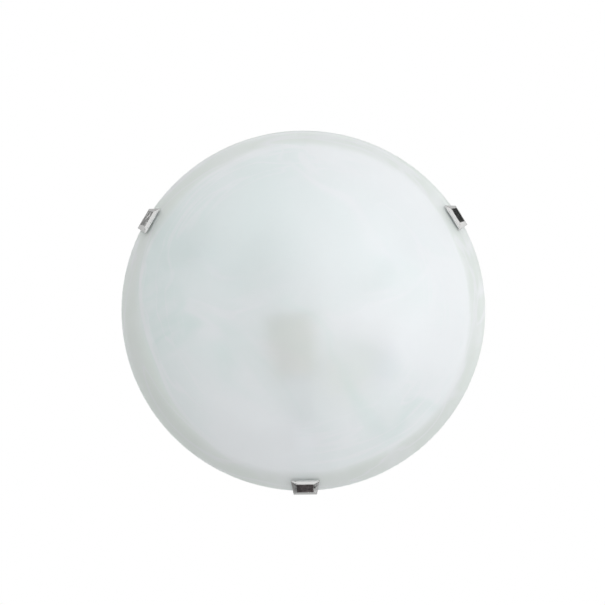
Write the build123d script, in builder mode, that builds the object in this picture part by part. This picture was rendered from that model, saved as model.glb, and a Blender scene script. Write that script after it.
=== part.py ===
from build123d import *
import os
from math import acos, asin, atan2, cos, degrees, pi, radians, sin, sqrt

# Flush mount ceiling light: a satin glass dish held under a white steel pan by three chromed clips.
# Millimetres. The origin is the middle of the pan's back face, which lies flat on the ceiling, and
# +Z points up into the ceiling. The sprung clip stands at +Y, the two fixed clips at 210 and 330 degrees.

# ------------------------------------------------------------------------------- driving dimensions
# Glass dish
glass_diameter = 300
glass_thickness = 4
crown_radius = 200            # outer radius of the shallow middle of the dish
knuckle_radius = 80           # outer radius of the turned-up rim
rim_slope = 60                # degrees from level, at the rim's outer edge
glass_edge_drop = 14.8        # from the ceiling down to the outer edge of the glass
edge_round = 1.0              # fire-polished corners of the rim

# Steel pan
pan_sheet = 0.8
pan_depth = 20
rim_inset = 15                # from the edge of the glass in to the pan's rim
pan_wall_run = 27             # from the pan's rim in to the edge of its flat floor
rim_flange = 3
pan_corner_radius = 5
flange_radius = 1.2
flange_lip = 2.6
ceiling_screw_spacing = 160
ceiling_slot_width = 4.6
ceiling_slot_length = 14

# Clips
sprung_clip_angle = 90
left_clip_angle = 210
right_clip_angle = 330
hook_relief = 3               # degrees by which a hook is flatter than the edge of the glass
glass_gap = 0.35              # running gap from the glass to its soft pads
pad_thickness = 0.75
strip_sheet = 1.0
strip_width = 14
arm_over_edge = 2.2           # gap above the edge of the glass, under the arm
hook_length = 10.5            # below the point where the hook lies along the glass
hook_bend = 1.2
strip_bend = 3

# Clip caps
cap_skirt_gap = 0.6           # from the glass to the cap's skirt
cap_edge = 1.0                # upright part of the skirt
cap_rise = 2.4                # from the skirt up to the raised face
cap_low_width = 23.2
cap_top_width = 18.8
cap_face_width = 13.4
cap_top_reach = 6.6
cap_low_wall = 1.7
cap_face_top = 0.1
cap_face_inset = 0.7
cap_round = 0.35
cap_fit = 0.05

# Fixed arms
foot_inset = 32               # from the edge of the pan's floor in to the end of an arm's foot
foot_length = 20
joggle_length = 12
foot_rivet_pitch = 9

# Sprung arm, its guide and spring
tongue_width = 5
tongue_inset = 40             # from the edge of the pan's floor in to the end of the tongue
tongue_length = 32
guide_sheet = 1.2
guide_gap = 0.8               # from the guide to the arm's shoulder
guide_width = 22
guide_foot = 16
guide_lip = 5
slot_clearance = 0.2
spring_wire = 0.9
spring_mean_radius = 3.6
spring_turns = 8
spring_end_gap = 0.15
washer_radius = 4.8
washer_thickness = 1.2
pin_radius = 0.75
pin_length = 8
pin_inset = 2.2

# Rivets
rivet_radius = 1.6
rivet_head_radius = 3.1
rivet_head_height = 1.3
rivet_edge = 0.5              # least metal beside a rivet's head
hole_clearance = 0.05

# Lamp axis
lamp_turn = 7                 # degrees from the Y axis
lamp_drop = 37                # from the ceiling down to the lamp's axis
mouth_x = -12.2
mouth_y = 11.2

# Lampholder
holder_radius = 19.5
holder_front = 34
holder_rear_radius = 17
holder_length = 48
holder_round = 2
shell_bore_radius = 13.3
shell_wall = 0.4
shell_inset = 2
shell_length = 23
thread_pitch = 3.629
thread_depth = 0.75
shell_clearance = 0.1
core_face = 27
terminal_spread = 11.5
terminal_width = 6
terminal_height = 7.6
terminal_depth = 9
insert_spread = 9
insert_radius = 2.4
insert_length = 8
screw_radius = 1.5
screw_head_radius = 2.8
screw_head_height = 1.9
screw_slot_width = 0.7
screw_slot_depth = 0.8
contact_sheet = 0.5
contact_width = 6
contact_gap = 0.3

# Lampholder bracket
bracket_sheet = 1.5
bracket_width = 16
bracket_foot = 16
bracket_overlap = 5
bracket_bend = 2

# Lamp, a frosted 55 mm bulb with a 27 mm screw cap
bulb_length = 98
bulb_radius = 27.5
bulb_wall = 0.8
bulb_neck_radius = 12.6
bulb_neck_length = 9
bulb_neck_flare = 0.8
bulb_neck_blend = 20
cap_length = 27
cap_crest_radius = 13.1
cap_wall = 0.3
cap_thread_depth = 0.8
insulator_length = 4.5
insulator_small_radius = 6
bulb_contact_radius = 4.5
bulb_contact_height = 0.9
stem_radius = 5
stem_length = 34
filament_span = 18
filament_radius = 0.5
lead_in_radius = 0.4
lead_in_step = 1.2

# Terminal block
block_x = 58
block_y = 22
pole_pitch = 12
pole_width = 8
pole_count = 3
block_length = 18
block_height = 13.5
block_round = 0.8
web_height = 6
web_inset = 2                 # from the ends of the poles in to the web between them
insert_bore_radius = 1.4
block_insert_radius = 2.3
block_insert_length = 14
block_screw_radius = 1.3
block_screw_hole_radius = 1.8
block_screw_length = 5
block_screw_spread = 4
wire_level = 7.2              # from the ceiling down to the bores of the terminal block

# Cable grommet
grommet_x = 58
grommet_y = -20
grommet_hole_radius = 7
grommet_flange_radius = 9.5
grommet_flange = 1.6
grommet_bore_radius = 4.5
grommet_round = 0.6
emboss_radius = 13
emboss_depth = 2.6

# Earth terminal
earth_x = 27
earth_y = 38
stud_radius = 2
stud_length = 9
lug_sheet = 0.8
lug_radius = 4.5
lug_tail = 9                  # from the stud's axis to the end of the flat tail
lug_barrel_start = 6.75       # from the stud's axis to the crimped barrel
lug_barrel_radius = 2.1
lug_barrel_length = 7
lug_turn = 100                # degrees from the X axis
star_washer_radius = 4
star_washer_sheet = 0.6
star_washer_teeth = 10
earth_nut_across_flats = 7
earth_nut_height = 3.2
earth_nut_chamfer = 0.4

# Leads
lead_radius = 1.15
lead_share = 0.45             # of the shorter run, taken up by each corner's arc
holder_lead_grip = 8          # length of a lead inside the lampholder's terminals
holder_lead_straight = 13     # straight run behind the lampholder
neutral_lead_extra = 3        # by which the neutral lead runs further before it turns
block_lead_end = 3            # from the terminal block's middle to a lead's end
block_lead_straight = 13      # straight run in front of the terminal block
lug_lead_grip = 6             # length of the earth lead inside the lug's barrel
earth_lead_straight = 8       # straight run from the lug's barrel
earth_lead_extra = 8          # by which the earth lead comes in longer to the terminal block

# ---------------------------------------------------------------------------------- derived geometry
glass_radius = glass_diameter / 2
knuckle_centre_r = glass_radius - knuckle_radius * sin(radians(rim_slope))
knuckle_centre_z = -glass_edge_drop + knuckle_radius * cos(radians(rim_slope))
crown_angle = degrees(asin(knuckle_centre_r / (crown_radius - knuckle_radius)))
crown_centre_z = knuckle_centre_z + (crown_radius - knuckle_radius) * cos(radians(crown_angle))
glass_apex_z = crown_centre_z - crown_radius
glass_top_z = -glass_edge_drop + glass_thickness * cos(radians(rim_slope))

hook_slope = rim_slope - hook_relief
hook_normal = Vector(sin(radians(hook_slope)), -cos(radians(hook_slope)))
hook_up = Vector(cos(radians(hook_slope)), sin(radians(hook_slope)))
hook_touch = Vector(knuckle_centre_r, knuckle_centre_z) + hook_normal * knuckle_radius
strip_offset = glass_gap + pad_thickness + strip_sheet / 2
arm_z = glass_top_z + arm_over_edge + strip_sheet / 2
foot_z = -pan_sheet - strip_sheet / 2

pan_rim_radius = glass_radius - rim_inset
pan_floor_radius = pan_rim_radius - pan_wall_run
fixed_clip_angles = {"left": left_clip_angle, "right": right_clip_angle}
foot_start = pan_floor_radius - foot_inset
foot_end = foot_start + foot_length
joggle_end = foot_end + joggle_length
tongue_start = pan_floor_radius - tongue_inset
tongue_end = tongue_start + tongue_length
guide_face = tongue_end - guide_gap
guide_back = guide_face - guide_sheet
washer_face = tongue_start + pin_inset + pin_radius + washer_thickness
spring_start = washer_face + spring_end_gap
spring_length = guide_back - spring_end_gap - spring_start

lamp_back = Vector(sin(radians(lamp_turn)), cos(radians(lamp_turn)), 0)
lamp_side = Vector(cos(radians(lamp_turn)), -sin(radians(lamp_turn)), 0)
lamp_mouth = Vector(mouth_x, mouth_y, -lamp_drop)
lamp_section = Plane(origin=lamp_mouth, x_dir=lamp_back, z_dir=lamp_side)
lamp_face = Plane(origin=lamp_mouth, x_dir=lamp_side, z_dir=lamp_back * -1)
lamp_axis = Axis(origin=lamp_mouth, direction=lamp_back)

contact_tip = shell_inset + shell_length - contact_gap
bulb_base = contact_tip - contact_gap
cap_rim = bulb_base - cap_length
bulb_tip = bulb_base - bulb_length

finished = []


def keep(piece, name):
    """Label a finished piece and put it on the list of files to write."""
    piece.part.label = name
    finished.append(piece.part)


def radial_section(angle):
    """Upright plane through the main axis: local x runs outwards at the angle, local y runs up."""
    outwards = Vector(cos(radians(angle)), sin(radians(angle)), 0)
    return Plane(origin=(0, 0, 0), x_dir=outwards, z_dir=outwards.cross(Vector(0, 0, 1)))


def radial_point(angle, radius, z, sideways=0):
    """Point at a radius along a clip's direction, with a sideways offset along the rim."""
    outwards = Vector(cos(radians(angle)), sin(radians(angle)), 0)
    along_rim = Vector(-sin(radians(angle)), cos(radians(angle)), 0)
    return outwards * radius + along_rim * sideways + Vector(0, 0, z)


def hook_plane(angle, offset):
    """Plane along a hook, raised by an offset from the glass: local x along the rim, local y up it."""
    section = radial_section(angle)
    outwards, up = section.x_dir, Vector(0, 0, 1)
    normal = outwards * hook_normal.X + up * hook_normal.Y
    touch = outwards * hook_touch.X + up * hook_touch.Y
    return Plane(origin=touch + normal * offset, x_dir=outwards.cross(up) * -1, z_dir=normal)


def hook_points(offset, top, low_end):
    """Section of a hook: down beside the edge of the glass, then in under it, at an offset from it."""
    upright = glass_radius + offset
    slant_start = hook_touch + hook_normal * offset
    climb = (upright - slant_start.X) / hook_up.X
    corner = slant_start + hook_up * climb
    end = slant_start - hook_up * low_end
    return [(upright, top), (upright, corner.Y), (end.X, end.Y)]


# ------------------------------------------------------------------------------------------- glass
with BuildPart() as glass_dish:
    with BuildSketch(Plane.XZ) as dish_section:
        with BuildLine():
            crown = JernArc((0, glass_apex_z), (1, 0), crown_radius, crown_angle)
            rim = JernArc(crown @ 1, crown % 1, knuckle_radius, rim_slope - crown_angle)
            inner_crown = JernArc(
                (0, glass_apex_z + glass_thickness), (1, 0), crown_radius - glass_thickness, crown_angle)
            inner_rim = JernArc(
                inner_crown @ 1, inner_crown % 1, knuckle_radius - glass_thickness, rim_slope - crown_angle)
            Line(rim @ 1, inner_rim @ 1)
            Line(crown @ 0, inner_crown @ 0)
        make_face()
        fillet(dish_section.vertices().group_by(Axis.Y)[-1], edge_round)
        fillet(dish_section.vertices().sort_by(Axis.X)[-1], edge_round)
    revolve(axis=Axis.Z)
keep(glass_dish, "glass_dish")

# --------------------------------------------------------------------------------------------- pan
wall_foot = (pan_floor_radius, -pan_sheet / 2)
flange_start = (pan_rim_radius - rim_flange, -pan_depth + pan_sheet / 2)
flange_end = (pan_rim_radius - pan_sheet / 2, -pan_depth + pan_sheet / 2)
lip_end = (pan_rim_radius - pan_sheet / 2, -pan_depth + flange_lip)
fixed_rivet_radii = [foot_start + foot_length / 2 - foot_rivet_pitch / 2,
                     foot_start + foot_length / 2 + foot_rivet_pitch / 2]
guide_rivet_radius = guide_back - guide_foot / 2
guide_rivet_spread = guide_width / 2 - rivet_head_radius - rivet_edge
bracket_rivet_along = holder_length - bracket_foot / 2 - bracket_bend / 2
bracket_rivet_spread = bracket_width / 2 - rivet_head_radius - rivet_edge
rivet_places = [radial_point(angle, radius, 0) for angle in fixed_clip_angles.values()
                for radius in fixed_rivet_radii]
guide_rivet_places = [radial_point(sprung_clip_angle, guide_rivet_radius, 0, side * guide_rivet_spread)
                      for side in (-1, 1)]
bracket_rivet_middle = lamp_mouth + lamp_back * bracket_rivet_along + Vector(0, 0, lamp_drop)
bracket_rivet_places = [bracket_rivet_middle + lamp_side * side * bracket_rivet_spread for side in (-1, 1)]
block_rivet_place = Vector(block_x + pole_pitch / 2, block_y, 0)
earth_place = Vector(earth_x, earth_y, 0)

with BuildPart() as pan:
    with BuildSketch(Plane.XZ):
        with BuildLine():
            FilletPolyline((0, -pan_sheet / 2), wall_foot, flange_start, flange_end, lip_end,
                           radius=[pan_corner_radius, flange_radius, flange_radius])
        trace(line_width=pan_sheet)
    revolve(axis=Axis.Z)
    with BuildSketch(Plane.XY):
        with Locations((grommet_x, grommet_y)):
            Circle(emboss_radius + pan_sheet)
    extrude(amount=-emboss_depth - pan_sheet)
    with BuildSketch(Plane.XY):
        with Locations((grommet_x, grommet_y)):
            Circle(emboss_radius)
    extrude(amount=-emboss_depth, mode=Mode.SUBTRACT)
    with BuildSketch(Plane.XY):
        with Locations((grommet_x, grommet_y)):
            Circle(grommet_hole_radius)
        with GridLocations(ceiling_screw_spacing, 0, 2, 1):
            SlotOverall(ceiling_slot_length, ceiling_slot_width)
        with Locations(*rivet_places, *guide_rivet_places, *bracket_rivet_places, block_rivet_place):
            Circle(rivet_radius + hole_clearance)
        with Locations(earth_place):
            Circle(stud_radius + hole_clearance)
    extrude(amount=-pan_depth, mode=Mode.SUBTRACT)
    for angle in (sprung_clip_angle, *fixed_clip_angles.values()):
        with BuildSketch(radial_section(angle)):
            with Locations(((joggle_end + glass_radius) / 2, arm_z)):
                Rectangle(glass_radius - joggle_end, strip_sheet + 2 * slot_clearance)
        extrude(amount=strip_width / 2 + slot_clearance, both=True, mode=Mode.SUBTRACT)
keep(pan, "pan")


# ------------------------------------------------------------------------------------ clips and arms
def clip_pad(angle, name):
    """Soft liner inside a hook, between the strip and the glass."""
    with BuildPart() as pad:
        with BuildSketch(radial_section(angle)):
            with BuildLine():
                FilletPolyline(*hook_points(glass_gap + pad_thickness / 2, glass_top_z, hook_length),
                               radius=hook_bend + pad_thickness / 2)
            trace(line_width=pad_thickness)
        extrude(amount=strip_width / 2, both=True)
    keep(pad, name)


def clip_cap(angle, name):
    """Chromed cap over a hook: a raised flat face with wide bevels on all four sides."""
    low = -hook_length - cap_low_wall
    cap_depth = strip_offset + strip_sheet / 2 + cap_fit
    pocket_middle = cap_depth / 2
    pocket_line = hook_points(pocket_middle, arm_z, hook_length + cap_fit)
    with BuildPart() as cap:
        with BuildSketch(hook_plane(angle, cap_skirt_gap)):
            Polygon((-cap_low_width / 2, low), (cap_low_width / 2, low),
                    (cap_top_width / 2, cap_top_reach), (-cap_top_width / 2, cap_top_reach), align=None)
        extrude(amount=cap_edge)
        with BuildSketch(hook_plane(angle, cap_skirt_gap + cap_edge)):
            Polygon((-cap_low_width / 2, low), (cap_low_width / 2, low),
                    (cap_top_width / 2, cap_top_reach), (-cap_top_width / 2, cap_top_reach), align=None)
        with BuildSketch(hook_plane(angle, cap_skirt_gap + cap_edge + cap_rise)):
            Polygon((-cap_face_width / 2, low + cap_face_inset), (cap_face_width / 2, low + cap_face_inset),
                    (cap_face_width / 2, -cap_face_top), (-cap_face_width / 2, -cap_face_top), align=None)
        loft()
        outwards = hook_plane(angle, 0).z_dir
        outer_faces = cap.faces().filter_by(lambda face: face.normal_at().dot(outwards) > 0.1)
        fillet(outer_faces.edges(), cap_round)
        with BuildSketch(radial_section(angle)):
            with BuildLine():
                FilletPolyline(*pocket_line, radius=hook_bend + pocket_middle)
            trace(line_width=cap_depth)
        extrude(amount=strip_width / 2 + cap_fit, both=True, mode=Mode.SUBTRACT)
    keep(cap, name)


def arm_line(start_points, radii):
    """Centre line of a clip strip: its inner run, out over the edge of the glass and round the hook."""
    points = start_points + hook_points(strip_offset, arm_z, hook_length)
    bend = hook_bend + pad_thickness + strip_sheet / 2
    return FilletPolyline(*points, radius=radii + [bend, bend])


for side, angle in fixed_clip_angles.items():
    with BuildPart() as fixed_arm:
        with BuildSketch(radial_section(angle)):
            with BuildLine():
                arm_line([(foot_start, foot_z), (foot_end, foot_z), (joggle_end, arm_z)],
                         [strip_bend, strip_bend])
            trace(line_width=strip_sheet)
        extrude(amount=strip_width / 2, both=True)
        with BuildSketch(Plane.XY):
            with Locations(*[radial_point(angle, radius, 0) for radius in fixed_rivet_radii]):
                Circle(rivet_radius + hole_clearance)
        extrude(amount=-pan_depth, mode=Mode.SUBTRACT)
    keep(fixed_arm, "fixed_arm_" + side)
    clip_pad(angle, "clip_pad_" + side)
    clip_cap(angle, "clip_cap_" + side)

with BuildPart() as sliding_arm:
    with BuildSketch(radial_section(sprung_clip_angle)):
        with BuildLine():
            arm_line([(tongue_end, arm_z)], [])
        trace(line_width=strip_sheet)
    extrude(amount=strip_width / 2, both=True)
    with BuildSketch(radial_section(sprung_clip_angle)):
        with Locations(((tongue_start + tongue_end) / 2, arm_z)):
            Rectangle(tongue_length, strip_sheet)
    extrude(amount=tongue_width / 2, both=True)
    with BuildSketch(Plane.XY):
        with Locations(radial_point(sprung_clip_angle, tongue_start + pin_inset, 0)):
            Circle(pin_radius + hole_clearance)
    extrude(amount=-pan_depth, mode=Mode.SUBTRACT)
keep(sliding_arm, "sliding_arm")
clip_pad(sprung_clip_angle, "clip_pad_front")
clip_cap(sprung_clip_angle, "clip_cap_front")

# Guide: a foot on the pan's floor and an upright with a window for the tongue.
guide_drop = -arm_z + strip_sheet / 2 + guide_lip
with BuildPart() as arm_guide:
    with BuildSketch(radial_section(sprung_clip_angle)):
        with BuildLine():
            FilletPolyline((guide_back - guide_foot, -pan_sheet - guide_sheet / 2),
                           (guide_back + guide_sheet / 2, -pan_sheet - guide_sheet / 2),
                           (guide_back + guide_sheet / 2, -guide_drop), radius=guide_sheet)
        trace(line_width=guide_sheet)
    extrude(amount=guide_width / 2, both=True)
    with BuildSketch(radial_section(sprung_clip_angle)):
        with Locations((guide_back + guide_sheet / 2, arm_z)):
            Rectangle(2 * guide_sheet, strip_sheet + 2 * slot_clearance)
    extrude(amount=tongue_width / 2 + slot_clearance, both=True, mode=Mode.SUBTRACT)
    with BuildSketch(Plane.XY):
        with Locations(*guide_rivet_places):
            Circle(rivet_radius + hole_clearance)
    extrude(amount=-pan_sheet - 2 * guide_sheet, mode=Mode.SUBTRACT)
keep(arm_guide, "arm_guide")

# Compression spring: a chain of half turns, each a level arc tilted by half a pitch, so that the
# turns run into each other without a kink.
spring_pitch = (spring_length - spring_wire) / spring_turns
spring_plane = Plane(origin=radial_point(sprung_clip_angle, spring_start + spring_wire / 2, arm_z),
                     x_dir=radial_section(sprung_clip_angle).z_dir,
                     z_dir=radial_section(sprung_clip_angle).x_dir)
half_chord = sqrt(spring_mean_radius ** 2 + (spring_pitch / 4) ** 2)
with BuildPart() as clip_spring:
    with BuildLine(spring_plane) as coil:
        for half in range(2 * spring_turns):
            way = 1 if half % 2 == 0 else -1
            height = half * spring_pitch / 2
            ThreePointArc((way * spring_mean_radius, 0, height),
                          (0, way * half_chord, height + spring_pitch / 4),
                          (-way * spring_mean_radius, 0, height + spring_pitch / 2))
    wire_start = spring_plane.from_local_coords((spring_mean_radius, 0, 0))
    with BuildSketch(Plane(origin=wire_start, z_dir=spring_plane.y_dir)):
        Circle(spring_wire / 2)
    sweep(path=coil.wires()[0])
keep(clip_spring, "clip_spring")
print("spring: least gap between turns", round(spring_pitch - spring_wire, 2),
      "wire length", round(coil.wires()[0].length, 1), "volume", round(clip_spring.part.volume, 1),
      "section times length", round(coil.wires()[0].length * pi * spring_wire ** 2 / 4, 1))

with BuildPart() as spring_washer:
    washer_plane = Plane(origin=radial_point(sprung_clip_angle, washer_face - washer_thickness, arm_z),
                         x_dir=radial_section(sprung_clip_angle).z_dir,
                         z_dir=radial_section(sprung_clip_angle).x_dir)
    with BuildSketch(washer_plane):
        Circle(washer_radius)
        Rectangle(tongue_width + 2 * hole_clearance, strip_sheet + 2 * hole_clearance, mode=Mode.SUBTRACT)
    extrude(amount=washer_thickness)
keep(spring_washer, "spring_washer")

with BuildPart() as spring_pin:
    pin_place = radial_point(sprung_clip_angle, tongue_start + pin_inset, arm_z - pin_length / 2)
    with BuildSketch(Plane(origin=pin_place, z_dir=(0, 0, 1))):
        Circle(pin_radius)
    extrude(amount=pin_length)
    fillet(spring_pin.edges().filter_by(GeomType.CIRCLE), pin_radius / 3)
keep(spring_pin, "spring_pin")


def add_rivet(place, grip):
    """One rivet into the part being built: flush with the pan's back, with a domed head below."""
    seat = -pan_sheet - grip
    with BuildSketch(Plane(origin=(place.X, place.Y, 0), x_dir=(1, 0, 0), z_dir=(0, -1, 0))) as half:
        with BuildLine():
            Polyline((0, seat - rivet_head_height), (0, 0), (rivet_radius, 0), (rivet_radius, seat),
                     (rivet_head_radius, seat))
            TangentArc((0, seat - rivet_head_height), (rivet_head_radius, seat), tangent=(1, 0))
        make_face()
    revolve(half.sketch, axis=Axis((place.X, place.Y, 0), (0, 0, 1)))


with BuildPart() as arm_rivets:
    for place in rivet_places:
        add_rivet(place, strip_sheet)
keep(arm_rivets, "arm_rivets")

with BuildPart() as guide_rivets:
    for place in guide_rivet_places:
        add_rivet(place, guide_sheet)
keep(guide_rivets, "guide_rivets")

# --------------------------------------------------------------------------------------- lampholder
with BuildPart() as lampholder_body:
    with BuildSketch(lamp_face):
        Circle(holder_radius)
    extrude(amount=-holder_front)
    rear_disc = lampholder_body.faces().filter_by(GeomType.PLANE).sort_by(lamp_axis)[-1]
    chamfer(rear_disc.edges(), holder_radius - holder_rear_radius)
    front_disc = lampholder_body.faces().filter_by(GeomType.PLANE).sort_by(lamp_axis)[0]
    fillet(front_disc.edges(), holder_round)
    with BuildSketch(lamp_face):
        Circle(holder_rear_radius)
    extrude(amount=-holder_length)
    with BuildSketch(lamp_face):
        Circle(shell_bore_radius + thread_depth + shell_clearance + shell_wall)
    extrude(amount=-core_face, mode=Mode.SUBTRACT)
    with BuildSketch(lamp_face.offset(-holder_length)):
        with GridLocations(2 * terminal_spread, 0, 2, 1):
            Rectangle(terminal_width + 2 * hole_clearance, terminal_height + 2 * hole_clearance)
    extrude(amount=terminal_depth, mode=Mode.SUBTRACT)
    with BuildSketch(lamp_face.offset(-holder_length)):
        with GridLocations(0, 2 * insert_spread, 1, 2):
            Circle(insert_radius + hole_clearance)
    extrude(amount=insert_length, mode=Mode.SUBTRACT)
keep(lampholder_body, "lampholder_body")

# Threaded shell: its rolled thread is a row of rings, so that the lamp's cap can slide as it turns.
with BuildPart() as threaded_shell:
    ring_count = int((shell_length - shell_wall) / thread_pitch)
    inner_radius = shell_bore_radius
    with BuildSketch(lamp_section):
        with BuildLine():
            outer = [(shell_inset, inner_radius + shell_wall)]
            inner = [(shell_inset, inner_radius)]
            for ring in range(ring_count):
                ring_start = shell_inset + ring * thread_pitch + thread_pitch / 4
                crest = ring_start + thread_pitch / 4
                ring_end = ring_start + thread_pitch / 2
                outer += [(ring_start, inner_radius + shell_wall),
                          (crest, inner_radius + shell_wall + thread_depth),
                          (ring_end, inner_radius + shell_wall)]
                inner += [(ring_start, inner_radius), (crest, inner_radius + thread_depth),
                          (ring_end, inner_radius)]
            shell_end = shell_inset + shell_length
            outer += [(shell_end + shell_wall, inner_radius + shell_wall),
                      (shell_end + shell_wall, inner_radius - 2 * contact_sheet)]
            inner += [(shell_end, inner_radius), (shell_end, inner_radius - 2 * contact_sheet)]
            Polyline(*outer, *reversed(inner), close=True)
        make_face()
    revolve(axis=lamp_axis)
keep(threaded_shell, "threaded_shell")

with BuildPart() as centre_contact:
    with BuildSketch(lamp_section):
        with BuildLine():
            FilletPolyline((core_face - contact_sheet / 2, -shell_bore_radius / 2),
                           (core_face - contact_sheet / 2, 0),
                           (contact_tip + contact_sheet / 2, shell_bore_radius / 4),
                           (contact_tip + contact_sheet, shell_bore_radius / 2), radius=contact_sheet)
        trace(line_width=contact_sheet)
    extrude(amount=contact_width / 2, both=True)
keep(centre_contact, "centre_contact")

with BuildPart() as holder_terminals:
    for side in (-1, 1):
        with BuildSketch(lamp_face.offset(-holder_length)):
            with Locations((side * terminal_spread, 0)):
                Rectangle(terminal_width, terminal_height)
                Circle(lead_radius + hole_clearance, mode=Mode.SUBTRACT)
        extrude(amount=terminal_depth)
keep(holder_terminals, "holder_terminals")

with BuildPart() as bracket_inserts:
    with BuildSketch(lamp_face.offset(-holder_length)):
        with GridLocations(0, 2 * insert_spread, 1, 2):
            Circle(insert_radius)
            Circle(screw_radius + hole_clearance, mode=Mode.SUBTRACT)
    extrude(amount=insert_length)
keep(bracket_inserts, "bracket_inserts")

# Bracket: a foot on the pan's floor under the holder and a plate across the holder's back.
bracket_face = holder_length + bracket_sheet / 2
with BuildPart() as lampholder_bracket:
    with BuildSketch(lamp_section):
        with BuildLine():
            foot_height = lamp_drop - pan_sheet - bracket_sheet / 2
            FilletPolyline((holder_length - bracket_foot, foot_height), (bracket_face, foot_height),
                           (bracket_face, -insert_spread - bracket_overlap), radius=bracket_bend)
        trace(line_width=bracket_sheet)
    extrude(amount=bracket_width / 2, both=True)
    with BuildSketch(lamp_face.offset(-holder_length)):
        with GridLocations(0, 2 * insert_spread, 1, 2):
            Circle(screw_radius + hole_clearance)
    extrude(amount=-2 * bracket_sheet, mode=Mode.SUBTRACT)
    with BuildSketch(Plane.XY):
        with Locations(*bracket_rivet_places):
            Circle(rivet_radius + hole_clearance)
    extrude(amount=-pan_sheet - 2 * bracket_sheet, mode=Mode.SUBTRACT)
keep(lampholder_bracket, "lampholder_bracket")

with BuildPart() as bracket_rivets:
    for place in bracket_rivet_places:
        add_rivet(place, bracket_sheet)
keep(bracket_rivets, "bracket_rivets")

with BuildPart() as bracket_screws:
    head_base = holder_length + bracket_sheet
    for height in (-insert_spread, insert_spread):
        with BuildSketch(lamp_face.offset(-head_base)):
            with Locations((0, height)):
                Circle(screw_radius)
        extrude(amount=bracket_sheet + insert_length)
        with BuildSketch(lamp_face.offset(-head_base)):
            with Locations((0, height)):
                Circle(screw_head_radius)
        extrude(amount=-screw_head_height)
        with BuildSketch(lamp_face.offset(-head_base - screw_head_height)):
            with Locations((0, height)):
                Rectangle(2 * screw_head_radius, screw_slot_width)
        extrude(amount=screw_slot_depth, mode=Mode.SUBTRACT)
keep(bracket_screws, "bracket_screws")

# ---------------------------------------------------------------------------------------------- lamp
neck_end = cap_rim - bulb_neck_length
bulb_centre = bulb_tip + bulb_radius


def bulb_section(inset):
    """Half section of the bulb's glass, drawn in from its outer face by the inset."""
    radius = bulb_radius - inset
    neck = (neck_end, bulb_neck_radius + bulb_neck_flare - inset)
    reach = Vector(neck[0] - bulb_centre, neck[1])
    tangent_angle = atan2(reach.Y, reach.X) + acos(radius / reach.length)
    tangent = (bulb_centre + radius * cos(tangent_angle), radius * sin(tangent_angle))
    mouth = (cap_rim + cap_wall, bulb_neck_radius - inset)
    Line((bulb_centre - radius, 0), (mouth[0], 0))
    Line((mouth[0], 0), mouth)
    Line(mouth, neck)
    Line(neck, tangent)
    middle_angle = (tangent_angle + pi) / 2
    ThreePointArc(tangent, (bulb_centre + radius * cos(middle_angle), radius * sin(middle_angle)),
                  (bulb_centre - radius, 0))


with BuildPart() as bulb_glass:
    for inset in (0, bulb_wall):
        with BuildSketch(lamp_section) as half:
            with BuildLine():
                bulb_section(inset)
            make_face()
            neck_corner = (neck_end, bulb_neck_radius + bulb_neck_flare - inset)
            fillet(half.vertices().sort_by_distance(neck_corner)[0], bulb_neck_blend)
        revolve(axis=lamp_axis, mode=Mode.ADD if inset == 0 else Mode.SUBTRACT)
keep(bulb_glass, "bulb_glass")

# Screw cap: the thread is rolled as rings, for the reason given at the shell.
with BuildPart() as bulb_cap:
    thread_start = cap_rim + thread_pitch
    cap_ring_count = int((bulb_base - insulator_length - bulb_contact_height - thread_start) / thread_pitch)
    with BuildSketch(lamp_section):
        with BuildLine():
            root = cap_crest_radius - cap_thread_depth
            outer = [(cap_rim, cap_crest_radius), (thread_start, cap_crest_radius)]
            for ring in range(cap_ring_count):
                valley = thread_start + (ring + 0.5) * thread_pitch
                outer += [(valley, root), (valley + thread_pitch / 2, cap_crest_radius)]
            cap_end = bulb_base - insulator_length - bulb_contact_height
            outer += [(cap_end, root)]
            inner = [(cap_end, root - cap_wall), (thread_start, root - cap_wall),
                     (cap_rim, cap_crest_radius - cap_wall)]
            Polyline(*outer, *inner, close=True)
        make_face()
    revolve(axis=lamp_axis)
keep(bulb_cap, "bulb_cap")

with BuildPart() as bulb_insulator:
    with BuildSketch(lamp_section):
        with BuildLine():
            Polyline((cap_end, 0), (cap_end, root - cap_wall),
                     (cap_end + insulator_length, insulator_small_radius),
                     (cap_end + insulator_length, 0), close=True)
        make_face()
    revolve(axis=lamp_axis)
keep(bulb_insulator, "bulb_insulator")

with BuildPart() as bulb_contact:
    with BuildSketch(lamp_face.offset(-cap_end - insulator_length)):
        Circle(bulb_contact_radius)
    extrude(amount=-bulb_contact_height)
    fillet(bulb_contact.faces().sort_by(lamp_axis)[-1].edges(), bulb_contact_height / 2)
keep(bulb_contact, "bulb_contact")

with BuildPart() as bulb_stem:
    with BuildSketch(lamp_section):
        with BuildLine():
            stem_foot = cap_rim + cap_wall
            Polyline((stem_foot, 0), (stem_foot, bulb_neck_radius - bulb_wall - hole_clearance),
                     (stem_foot - bulb_wall, bulb_neck_radius - bulb_wall - hole_clearance),
                     (stem_foot - stem_radius, stem_radius), (stem_foot - stem_length, stem_radius / 2),
                     (stem_foot - stem_length, 0), close=True)
        make_face()
    revolve(axis=lamp_axis)
keep(bulb_stem, "bulb_stem")

filament_along = stem_foot - stem_length - stem_radius
with BuildPart() as bulb_filament:
    with BuildSketch(Plane(origin=lamp_mouth + lamp_back * filament_along - lamp_side * filament_span / 2,
                           z_dir=lamp_side)):
        Circle(filament_radius)
    extrude(amount=filament_span)
keep(bulb_filament, "bulb_filament")

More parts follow.
